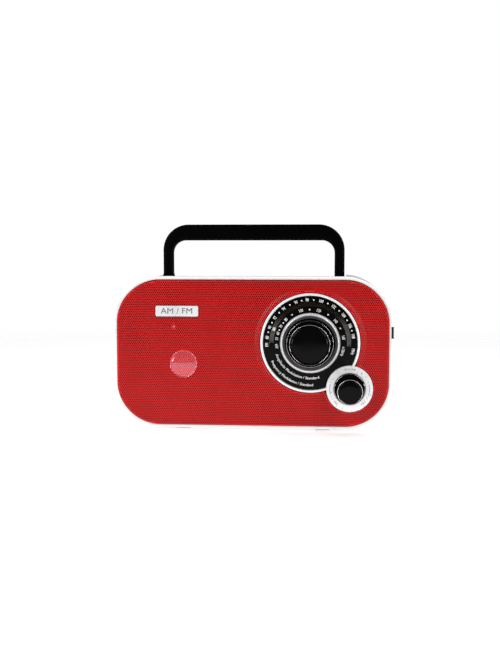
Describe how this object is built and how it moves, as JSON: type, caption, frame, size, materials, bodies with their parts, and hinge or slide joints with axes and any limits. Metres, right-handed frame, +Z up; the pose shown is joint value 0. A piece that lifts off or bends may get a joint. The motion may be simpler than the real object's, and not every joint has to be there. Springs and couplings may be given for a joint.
{
  "type": "portable radio",
  "caption": "Portable AM/FM radio: perforated front, large tuning dial, volume knob, folding handle, telescopic antenna, rear battery cover and mains inlet.",
  "frame": {"origin": "middle of the footprint, on the surface that the feet rest on", "axes": "+Z up; -Y out of the grille; +X to the right for someone facing the grille, which is the housing's longest direction"},
  "size_m": [0.2329, 0.0988, 0.1722],
  "materials": {
    "grille_metal": "satin red paint",
    "housing_plastic": "smooth white",
    "inner_plastic": "matt black",
    "silver_trim": "satin silver coating",
    "clear_plastic": "clear gloss",
    "led_plastic": "translucent",
    "dial_plastic": "gloss black",
    "knob_plastic": "high gloss black",
    "chrome_trim": "chrome plated",
    "handle_plastic": "satin black",
    "antenna_metal": "polished",
    "steel": "zinc plated",
    "speaker_paper": "black paper",
    "ferrite": "sintered ferrite",
    "capacitor_plastic": "milky plastic",
    "circuit_board": "green board",
    "copper_wire": "enamelled winding",
    "transformer_iron": "laminated iron with winding",
    "switch_plastic": "matt black",
    "cell_jacket": "printed sleeve without lettering",
    "foot_plastic": "soft white pad"
  },
  "bodies": {
    "housing": {"front_grille": "grille_metal", "front_bezel": "housing_plastic", "front_baffle": "inner_plastic", "rear_housing": "housing_plastic", "front_badge": "silver_trim", "clear_disc": "clear_plastic", "power_led": "led_plastic", "dial_bezel": "silver_trim", "dial_plate": "dial_plastic", "dial_window": "clear_plastic", "tuning_capacitor": "capacitor_plastic", "volume_pot": "steel", "handle_pin_left": "steel", "handle_pin_right": "steel", "speaker_frame": "steel", "speaker_cone": "speaker_paper", "speaker_dust_cap": "speaker_paper", "speaker_magnet": "ferrite", "main_board": "circuit_board", "ferrite_rod": "ferrite", "ferrite_coil": "copper_wire", "power_transformer": "transformer_iron", "band_switch_body": "steel", "battery_cell_1": "cell_jacket", "battery_cell_2": "cell_jacket", "battery_cell_3": "cell_jacket", "battery_cell_4": "cell_jacket", "battery_contact_left": "steel", "battery_contact_right": "steel", "mains_inlet": "switch_plastic", "inlet_pin_left": "steel", "inlet_pin_right": "steel", "rear_screw_1": "steel", "rear_screw_2": "steel", "rear_screw_3": "steel", "rear_screw_4": "steel", "foot_1": "foot_plastic", "foot_2": "foot_plastic", "foot_3": "foot_plastic", "foot_4": "foot_plastic"},
    "carrying_handle": {"handle": "handle_plastic"},
    "tuning_control": {"tuning_knob": "knob_plastic", "tuning_knob_ring": "chrome_trim", "tuning_knob_cap": "knob_plastic", "tuning_shaft": "steel", "pointer_disc": "inner_plastic"},
    "volume_control": {"volume_knob_base": "knob_plastic", "volume_knob": "chrome_trim", "volume_knob_cap": "knob_plastic", "volume_shaft": "steel"},
    "band_switch": {"band_switch_knob": "switch_plastic"},
    "battery_cover": {"battery_door": "housing_plastic"},
    "antenna_swivel": {"antenna_base": "antenna_metal"},
    "antenna_outer": {"antenna_section_1": "antenna_metal"},
    "antenna_second": {"antenna_section_2": "antenna_metal"},
    "antenna_third": {"antenna_section_3": "antenna_metal"},
    "antenna_inner": {"antenna_rod": "antenna_metal"}
  },
  "joints": [
    {"name": "handle_fold", "type": "hinge", "parent": "housing", "child": "carrying_handle", "pos_m": [0, -0.00525, 0.124], "axis": [-1, 0, 0], "range_deg": [0, 90]},
    {"name": "tuning_turn", "type": "hinge", "parent": "housing", "child": "tuning_control", "pos_m": [0.0484, 0, 0.0745], "axis": [0, 1, 0], "range_deg": [-13.6, 149.6]},
    {"name": "volume_turn", "type": "hinge", "parent": "housing", "child": "volume_control", "pos_m": [0.081, 0, 0.0369], "axis": [0, 1, 0], "range_deg": [0, 300]},
    {"name": "band_slide", "type": "slide", "parent": "housing", "child": "band_switch", "axis": [0, 0, -1], "range_m": [0, 0.004]},
    {"name": "cover_open", "type": "hinge", "parent": "housing", "child": "battery_cover", "pos_m": [-0.004, 0.04675, 0.0113], "axis": [-1, 0, 0], "range_deg": [0, 90]},
    {"name": "antenna_swing", "type": "hinge", "parent": "housing", "child": "antenna_swivel", "pos_m": [-0.064, 0.04625, 0.11], "axis": [0, -1, 0], "range_deg": [0, 180]},
    {"name": "antenna_elbow", "type": "hinge", "parent": "antenna_swivel", "child": "antenna_outer", "pos_m": [-0.064, 0.04625, 0.11], "axis": [0, 0, 1], "range_deg": [0, 90]},
    {"name": "antenna_slide_1", "type": "slide", "parent": "antenna_outer", "child": "antenna_second", "axis": [1, 0, 0], "range_m": [0, 0.12]},
    {"name": "antenna_slide_2", "type": "slide", "parent": "antenna_second", "child": "antenna_third", "axis": [1, 0, 0], "range_m": [0, 0.12]},
    {"name": "antenna_slide_3", "type": "slide", "parent": "antenna_third", "child": "antenna_inner", "axis": [1, 0, 0], "range_m": [0, 0.12]}
  ]
}
